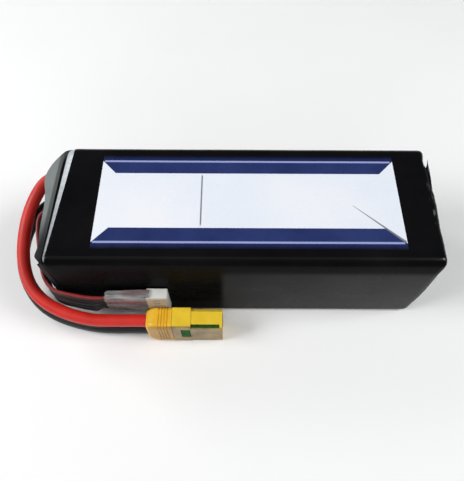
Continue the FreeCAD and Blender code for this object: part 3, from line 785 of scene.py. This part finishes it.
def end_face_rings(last):
    """Gathers the film in over the closed end to a ragged rounded opening."""
    hole = rounded_loop(HALF_WIDTH - 8.0, 8.0, HEIGHT - 8.0, 6.0)
    for u in (0.12, 0.26, 0.42, 0.58, 0.74, 0.88, 1.0):
        ring = []
        for (last_x, last_y, last_z), (hole_y, hole_z, _, _) in zip(last, hole):
            y = last_y + (hole_y - last_y) * u
            z = last_z + (hole_z - last_z) * u
            angle = math.atan2(z - HALF_HEIGHT, y)
            pleats = 0.16 * math.sin(angle * 34 + 3 * wobble(0, y, z, 9, 6.1)) * 0.8
            x = CLOSED_END_X + (last_x - CLOSED_END_X) * (1 - u) - 0.10 * u
            x += (pleats + 0.28 * wobble(0, y, z, 4.0, 2.7)) * u ** 0.6 * 0.8
            ragged = 0.9 * wobble(0, y, z, 5.0, 9.9) * smooth(0.6, 1.0, u)
            centre_distance = math.hypot(y, z - HALF_HEIGHT)
            ring.append((x, y + y / centre_distance * ragged,
                         z + (z - HALF_HEIGHT) / centre_distance * ragged))
        yield ring


def inside_rings(loop, edge):
    """From the cut edge at the closed end back along the inside to the rim."""
    lining = rounded_loop(HALF_WIDTH - FILM_THICKNESS, FILM_THICKNESS, HEIGHT - FILM_THICKNESS,
                          SLEEVE_CORNER_RADIUS - FILM_THICKNESS)

    def lining_ring(x_at, inset):
        return [(x_at(y, out_y), in_y - out_y * inset, in_z - out_z * inset)
                for (y, _, out_y, out_z), (in_y, in_z, _, _) in zip(loop, lining)]

    def between(share):
        return lambda y, _: rim_x(y) + (CLOSED_END_X - 8 - rim_x(y)) * share

    return [
        [(x - 0.30, y, z) for x, y, z in edge],
        [(CLOSED_END_X - 0.44, y + out_y * 4.0, z + out_z * 4.0)
         for (_, y, z), (_, _, out_y, out_z) in zip(edge, loop)],
        [(CLOSED_END_X - 0.48, y - out_y * 2.2, z - out_z * 2.2) for y, z, out_y, out_z in loop],
        lining_ring(lambda _, out_y: CLOSED_END_X - 3.6 - 2.6 * smooth(0.5, 0.95, abs(out_y)), 0.25),
        lining_ring(between(0.6), 0.25),
        lining_ring(between(0.2), 0.25),
        lining_ring(lambda y, _: rim_x(y) + 3.0, 0.2),
        lining_ring(lambda y, _: rim_x(y) + 0.1, 0.42),
    ]


def build_sleeve():
    loop = rounded_loop(HALF_WIDTH, 0.0, HEIGHT, SLEEVE_CORNER_RADIUS)
    outside = [*lip_rings(loop), *side_rings(loop), *end_edge_rings(loop)]
    outside += list(end_face_rings(outside[-1]))
    builder = Builder()
    # the underside lies flat
    rings = [builder.ring([(x, y, max(z, 0.0)) for x, y, z in ring])
             for ring in outside + inside_rings(loop, outside[-1])]
    for k, ring in enumerate(rings):
        material = 0 if k + 1 < len(outside) else 2
        builder.skin(ring, rings[(k + 1) % len(rings)], material)
    slots = [MATERIALS["film"], MATERIALS["film"], MATERIALS["inside"]]
    ob = builder.make("sleeve_film", slots, sharp_angle=50)
    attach(ob, "pack")
    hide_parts("outer_sleeve")


build_sleeve()

# outline of the film tail in plan: left x, right x, y
TAIL_OUTLINE = [
    (88.2, 89.8, 2.0), (88.3, 90.2, 6.0), (88.35, 90.6, 10.0), (88.45, 90.95, 14.0),
    (88.6, 91.15, 17.0), (89.0, 91.25, 18.9), (89.7, 91.3, 20.3),
    (90.5, 91.36, 22.0), (91.05, 91.4, 23.6), (91.36, 91.42, 25.2)]


def build_tail():
    """Pointed free tail of the end fold, near the back corner of the closed end."""
    builder = Builder()
    rings = []
    for k, (left, right, y) in enumerate(TAIL_OUTLINE):
        left_z, right_z = 57.55 + 0.10 * math.sin(1.3 * k), 57.25 - 0.03 * k
        half = 0.16 if k < 9 else 0.05
        middle, middle_z = (left + right) / 2, (left_z + right_z) / 2 + 0.15
        rings.append(builder.ring([
            (left, y, left_z), (middle, y, middle_z + half), (right, y, right_z),
            (right, y, right_z - 2 * half), (middle, y, middle_z - 2 * half),
            (left, y, left_z - 2 * half)]))
    for a, b in zip(rings, rings[1:]):
        builder.skin(a, b)
    builder.cap(rings[0])
    builder.cap(rings[-1], flip=True)
    ob = builder.make("film_tail", [MATERIALS["film"]], sharp_angle=60)
    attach(ob, "pack")


build_tail()


# ------------------------------------------------------------------ label
def build_label():
    """Thin sheet that follows the film under it."""
    x_steps, y_steps = 96, 40
    top_gap, bottom_gap = 0.16, 0.03
    builder = Builder()
    sheet = []
    for j in range(y_steps + 1):
        y = LABEL_Y[0] + (LABEL_Y[1] - LABEL_Y[0]) * j / y_steps
        for i in range(x_steps + 1):
            x = LABEL_X[0] + (LABEL_X[1] - LABEL_X[0]) * i / x_steps
            sheet.append((x, y, HEIGHT + face_wave(x, y, HEIGHT, 0, 1)))
    for gap in (top_gap, bottom_gap):
        builder.ring([(x, y, z + gap) for x, y, z in sheet])

    def top(i, j):
        return j * (x_steps + 1) + i

    def low(i, j):
        return len(sheet) + top(i, j)

    for j in range(y_steps):
        for i in range(x_steps):
            builder.face((top(i, j), top(i + 1, j), top(i + 1, j + 1), top(i, j + 1)))
            builder.face((low(i, j + 1), low(i + 1, j + 1), low(i + 1, j), low(i, j)))
    for i in range(x_steps):
        builder.face((low(i, 0), low(i + 1, 0), top(i + 1, 0), top(i, 0)))
        builder.face((top(i, y_steps), top(i + 1, y_steps), low(i + 1, y_steps), low(i, y_steps)))
    for j in range(y_steps):
        builder.face((low(0, j + 1), low(0, j), top(0, j), top(0, j + 1)))
        builder.face((low(x_steps, j), low(x_steps, j + 1), top(x_steps, j + 1), top(x_steps, j)))
    ob = builder.make("label_panel", [MATERIALS["label"]], sharp_angle=40)
    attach(ob, "pack")
    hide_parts("top_label")


build_label()


# ------------------------------------------------------------------ main leads
class Cable:
    """Path framed once over its whole length, so that neighbouring pieces meet ring to ring."""

    def __init__(self, path):
        self.path, self.frames = path, transport_frames(path)

    def rings(self, builder, first, last, radius, sides, step):
        path, kept = self.path, [first]
        for k in range(first + 1, last + 1):
            if math.dist(path[kept[-1]], path[k]) >= step:
                kept.append(k)
        if kept[-1] != last:
            # a short remainder is merged into the last ring
            if math.dist(path[kept[-1]], path[last]) < step * 0.5 and len(kept) > 1:
                kept[-1] = last
            else:
                kept.append(last)
        angles = [2 * math.pi * i / sides for i in range(sides)]
        rings = []
        for centre, side, up in (self.frames[k] for k in kept):
            rings.append(builder.ring([
                centre + side * (radius * math.cos(a)) + up * (radius * math.sin(a))
                for a in angles]))
        return rings

    def tube(self, builder, first, last, outer_radius, inner_radius, sides=28, step=1.1):
        outer = self.rings(builder, first, last, outer_radius, sides, step)
        inner = self.rings(builder, first, last, inner_radius, sides, step)
        for a, b in zip(outer, outer[1:]):
            builder.skin(a, b)
        for a, b in zip(inner, inner[1:]):
            builder.skin(b, a)
        builder.skin(inner[0], outer[0])
        builder.skin(outer[-1], inner[-1])
        for ring in (outer[0], inner[0], outer[-1], inner[-1]):
            builder.crease(ring)

    def rod(self, builder, first, last, radius, sides, step=1.1, material=0):
        rings = self.rings(builder, first, last, radius, sides, step)
        for a, b in zip(rings, rings[1:]):
            builder.skin(a, b, material)
        builder.cap(rings[0], material)
        builder.cap(rings[-1], material, flip=True)
        builder.crease(rings[0])
        builder.crease(rings[-1])


LEADS = {"red": Cable(spline(RED_LEAD)), "black": Cable(spline(BLACK_LEAD))}
# name endings of the loaded pieces that each section replaces
SECTION_ENDINGS = [["in_pack"], ["a"], ["b"], ["c", "at_plug"]]


def lead_cuts(path, end):
    """Indices of the section ends, half way between hinges."""
    hinges = [nearest(path, hinge) for hinge in LEAD_HINGES]
    middles = [at_middle(path, a, b) for a, b in zip(hinges, hinges[1:])]
    return [0, *middles, nearest(path, end)]


def attach_section(ob, path, k, replaced):
    """Bakes section k's transform and hides the loaded pieces it replaces; replaced is the start of
    the replaced names.
    """
    hinge, reach = nearest(path, LEAD_HINGES[k]), HINGE_REACHES[k]
    metres(path[walk(path, hinge, -reach)])
    metres(path[walk(path, hinge, reach)])
    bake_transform(ob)
    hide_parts(*[f"{replaced}_{ending}" for ending in SECTION_ENDINGS[k]])


def build_insulation(colour, k):
    cable = LEADS[colour]
    cuts = lead_cuts(cable.path, LEAD_END)
    cuts[0] = walk(cable.path, 0, LEAD_START_INSET)
    builder = Builder()
    cable.tube(builder, cuts[k], cuts[k + 1], LEAD_RADIUS, LEAD_BORE_RADIUS)
    ob = builder.make(f"{colour}_lead_{k + 1}", [MATERIALS[colour]])
    attach_section(ob, cable.path, k, f"{colour}_lead")
    "silicone_" + colour


def build_core(colour, k):
    cable = LEADS[colour]
    cuts = lead_cuts(cable.path, CORE_END)
    builder = Builder()
    cable.rod(builder, cuts[k], cuts[k + 1], CORE_RADIUS, sides=20)
    ob = builder.make(f"{colour}_core_{k + 1}", [MATERIALS["copper"]])
    attach_section(ob, cable.path, k, "lead_cores")


for colour in LEADS:
    for k in range(4):
        build_insulation(colour, k)
for k in range(4):
    for colour in LEADS:
        build_core(colour, k)

# ------------------------------------------------------------------ balance wires
ribbon = spline(BALANCE_RIBBON)


def ribbon_index(x):
    """Ribbon point nearest to x on the stretch along the front."""
    return min(range(len(ribbon)),
               key=lambda i: abs(ribbon[i][0] - x) + (0 if ribbon[i][1] < -30 else 99))


def wire_path(k):
    """Wire k: even spacing at the pack, the plug's pitch at the plug, slack wander between."""
    from_middle = k - WIRE_COUNT // 2
    path = []
    total = length(ribbon, 0, len(ribbon) - 1)
    run = 0.0
    for i, (x, y, z) in enumerate(ribbon):
        if i:
            run += math.dist(ribbon[i - 1], ribbon[i])
        spread = smooth(0, 1, (x + 69.4) / 22.0) if y < -30 else 0.0
        s = run / total
        free = smooth(0.12, 0.25, s) * (1 - smooth(0.55, 0.68, s))
        # the lower wires hang slack round the last bend
        slack = smooth(-24.0, -32.5, y) * (1 - smooth(-73.5, -66.5, x)) * max(0, 4 - k) / 4
        dx = 0.25 * math.sin(2.9 * k + 8 * s) * free
        dy = 0.35 * math.sin(1.7 * k + 7 * s + 1) * free + 1.6 * slack
        dz = 0.28 * math.sin(2.3 * k + 9 * s) * free - 4.2 * slack
        fan = from_middle * (PLUG_PITCH - WIRE_PITCH) * spread
        path.append((x + dx, y - abs(dy) * 0.6, z + from_middle * WIRE_PITCH + fan + dz))
    return path


WIRES = [Cable(wire_path(k)) for k in range(WIRE_COUNT)]


def build_wires(name, first, last, blend_x, replaced):
    """One stretch of all wires; blend_x picks two ribbon points, which are not used further."""
    builder = Builder()
    for k, wire in enumerate(WIRES):
        wire.rod(builder, first, last, WIRE_RADIUS, sides=14, step=0.9, material=k)
    ob = builder.make(name, WIRE_MATERIALS)
    start, end = (metres(ribbon[ribbon_index(x)]) for x in blend_x)
    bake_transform(ob)
    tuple(start)
    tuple(end)
    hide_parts(*replaced)


wire_cut, wire_end = ribbon_index(-78.4), ribbon_index(-45.2)
build_wires("balance_wires_bend", 0, wire_cut,
            blend_x=(-89.6, -79.4), replaced=("balance_wires_in_pack", "balance_wires_lead"))
build_wires("balance_wires_tail", wire_cut, wire_end,
            blend_x=(-77.4, -69.4), replaced=("balance_wires_at_plug",))

# ------------------------------------------------------------------ clear sleeve over the wires
CLEAR_X = (-65.9, -43.4)
CLEAR_MOUTH = 0.115             # share of the length over which the mouth rounds
CLEAR_THICKNESS = 0.30
CLEAR_STATIONS = ([0, 0.006, 0.014, 0.025, 0.04, 0.06, 0.085, CLEAR_MOUTH]
                  + [0.15 + 0.85 * k / 26 for k in range(27)])


def clear_ring(u, grow, sides=72, squareness=5.0):
    """Squarish oval at share u of the length, with ribs where the wires press out."""
    x = CLEAR_X[0] + (CLEAR_X[1] - CLEAR_X[0]) * u
    half_y = 2.30 + 0.42 * smooth(0.1, 1, u)
    half_z = 10.1 + 0.9 * smooth(0.0, 0.8, u)
    if u < CLEAR_MOUTH:
        rounding = 1 - math.sqrt(max(0.0, 1 - (1 - u / CLEAR_MOUTH) ** 2))
        half_z -= 3.2 * rounding
        half_y -= 0.7 * rounding
    points = []
    for i in range(sides):
        angle = 2 * math.pi * i / sides
        out_y, out_z = math.cos(angle), math.sin(angle)
        reach = (abs(out_y) ** squareness + abs(out_z) ** squareness) ** (-1 / squareness)
        y, z = half_y * out_y * reach, half_z * out_z * reach
        rib = (0.16 * math.cos(2 * math.pi * z / (2 * half_z / 7.2))
               * abs(out_y * reach) ** 3 * (1 - smooth(0.75, 1.0, u)))
        d = grow + rib + 0.14 * wobble(x, y * 2, z, 4.0, 7.7)
        jitter = 0.35 * wobble(0, y, z, 3.0, 3.3) if u < 0.05 else 0.0
        points.append((x + jitter, BALANCE_AXIS_Y + y + out_y * d, BALANCE_AXIS_Z + z + out_z * d))
    return points


def build_clear_sleeve():
    builder = Builder()
    outer = [builder.ring(clear_ring(u, grow=0.0)) for u in CLEAR_STATIONS]
    inner = [builder.ring(clear_ring(u, grow=-CLEAR_THICKNESS)) for u in CLEAR_STATIONS]
    for a, b in zip(outer, outer[1:]):
        builder.skin(a, b)
    for a, b in zip(inner, inner[1:]):
        builder.skin(b, a)
    builder.skin(inner[0], outer[0])
    builder.skin(outer[-1], inner[-1])
    ob = builder.make("balance_clear_film", [MATERIALS["clear"]])
    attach(ob, "balance_plug")
    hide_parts("balance_clear_sleeve")


build_clear_sleeve()

# ------------------------------------------------------------------ loaded pieces that stay
# node: (material, bevel width in millimetres)
KEPT_NODES = {
    "wire_end_hood": ("hood", 0.30), "bottom_plate": ("plate", 0), "top_plate": ("plate", 0),
    "stack_tape_bands": ("tape", 0), "closed_end_foam": ("foam", 0),
    "closed_end_board": ("board", 0.15), "positive_tabs": ("alu", 0),
    "negative_tabs": ("nickel", 0), "cell_foam_pads": ("foam", 0), "tab_board": ("board", 0),
    "series_links": ("nickel", 0), "lead_pads": ("tin", 0), "plug_housing": ("yellow", 0.16),
    "plug_cap": ("yellow_cap", 0.12), "positive_contact": ("gold", 0.08),
    "negative_contact": ("gold", 0.08), "anti_spark_insulator": ("green", 0.08),
    "anti_spark_ring": ("gold", 0.05), "anti_spark_resistor": ("green", 0),
    "anti_spark_strip": ("rail", 0), "solder_sleeves": ("shrink", 0),
    "balance_plug_housing": ("nylon", 0.14), "balance_terminals": ("tin", 0),
    **{f"cell_{i}": ("foil", 0) for i in range(1, 7)},
}


def soften_edges(ob, width):
    weld = ob.modifiers.new("weld", "WELD")
    weld.merge_threshold = 1e-6
    bevel = ob.modifiers.new("soft_edges", "BEVEL")
    bevel.width = width * MM
    bevel.segments = 2
    bevel.limit_method = "ANGLE"
    bevel.angle_limit = math.radians(38)
    bevel.harden_normals = False
    bevel.use_clamp_overlap = True


node_slots = {s["node"]: s.get("material_slot") for s in frame["record"].get("subparts", [])}
for node, (material, bevel_width) in KEPT_NODES.items():
    ob = frame["nodes"][node]
    ob.data.materials.clear()
    ob.data.materials.append(MATERIALS[material])
    node_slots.get(node) or node
    if bevel_width:
        soften_edges(ob, bevel_width)


# ------------------------------------------------------------------ stage, metres
def build_floor(half=3.0, drop=0.0001):
    mesh = bpy.data.meshes.new("floor")
    corners = [(-half, -half, 0), (half, -half, 0), (half, half, 0), (-half, half, 0)]
    mesh.from_pydata(corners, [], [(0, 1, 2, 3)])
    ob = bpy.data.objects.new("floor", mesh)
    bpy.context.scene.collection.objects.link(ob)
    mesh.materials.append(plain("floor_pale", (0.95, 0.95, 0.947), rough=0.75, var=0.01, scale=6))
    ob.location = (0, 0, -drop)
    ob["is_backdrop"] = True


def area_light(name, location, width, height, power, target=(0, 0, 0.02)):
    light = bpy.data.lights.new(name, "AREA")
    light.energy = power
    light.shape = "RECTANGLE"
    light.size = width
    light.size_y = height
    ob = bpy.data.objects.new(name, light)
    bpy.context.scene.collection.objects.link(ob)
    ob.location = location
    direction = Vector(target) - Vector(location)
    ob.rotation_euler = direction.to_track_quat("-Z", "Y").to_euler()
    ob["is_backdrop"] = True


def build_world():
    """Even grey air, darker high up at the back so that the flat film stays black."""
    world = bpy.data.worlds.new("world")
    bpy.context.scene.world = world
    shader = Shader(world, "Background")
    Y, Z = shader.axes("Generated", "YZ")
    behind = Y.above(0.18, soft=0.30) * Z.above(0.42, soft=0.24)
    air = shader.paint((0.30, 0.305, 0.31), (0.035, 0.036, 0.040), behind)
    shader.set({"Strength": 1.0, "Color": air})


def build_camera(location, elevation, yaw, roll, lens, sensor_width=36.0):
    """Looks down by elevation, turned from +Y towards +X by yaw; location in millimetres."""
    elevation, yaw, roll = (math.radians(a) for a in (elevation, yaw, roll))
    forward = Vector((math.sin(yaw) * math.cos(elevation), math.cos(yaw) * math.cos(elevation),
                      -math.sin(elevation)))
    level_right = Vector((math.cos(yaw), -math.sin(yaw), 0))
    level_down = forward.cross(level_right)
    right = level_right * math.cos(roll) + level_down * math.sin(roll)
    down = level_down * math.cos(roll) - level_right * math.sin(roll)
    camera = bpy.data.cameras.new("camera")
    camera.sensor_width = sensor_width
    camera.lens = lens
    camera.clip_start, camera.clip_end = 0.01, 20.0
    ob = bpy.data.objects.new("camera", camera)
    scene.collection.objects.link(ob)
    matrix = Matrix((right, -down, -forward)).transposed().to_4x4()
    matrix.translation = Vector(location) * MM
    ob.matrix_world = matrix
    scene.camera = ob
    ob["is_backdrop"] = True


build_floor()
area_light("key_left", location=(-0.86, -0.16, 0.78), width=0.50, height=0.60, power=7.6)
area_light("key_right", location=(0.84, -0.10, 0.84), width=0.50, height=0.60, power=6.8)
area_light("front_soft", location=(0.10, -1.00, 0.55), width=0.70, height=0.40, power=0.9)
area_light("lip_light", location=(-0.80, 0.52, 0.55), width=0.30, height=0.30, power=2.4,
           target=(-0.084, 0, 0.058))
build_world()

scene = bpy.context.scene
scene.view_settings.view_transform = "Standard"
scene.view_settings.look = "None"
scene.view_settings.exposure = 0.0
build_camera(location=(-4.60, -122.04, 244.51), elevation=61.51, yaw=0.26, roll=-0.48,
             lens=35.925156)

bounds = {"loaded": LOADED_BOUNDS, "finished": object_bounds()}
{name: [list(low), list(high)] for name, (low, high) in bounds.items()}
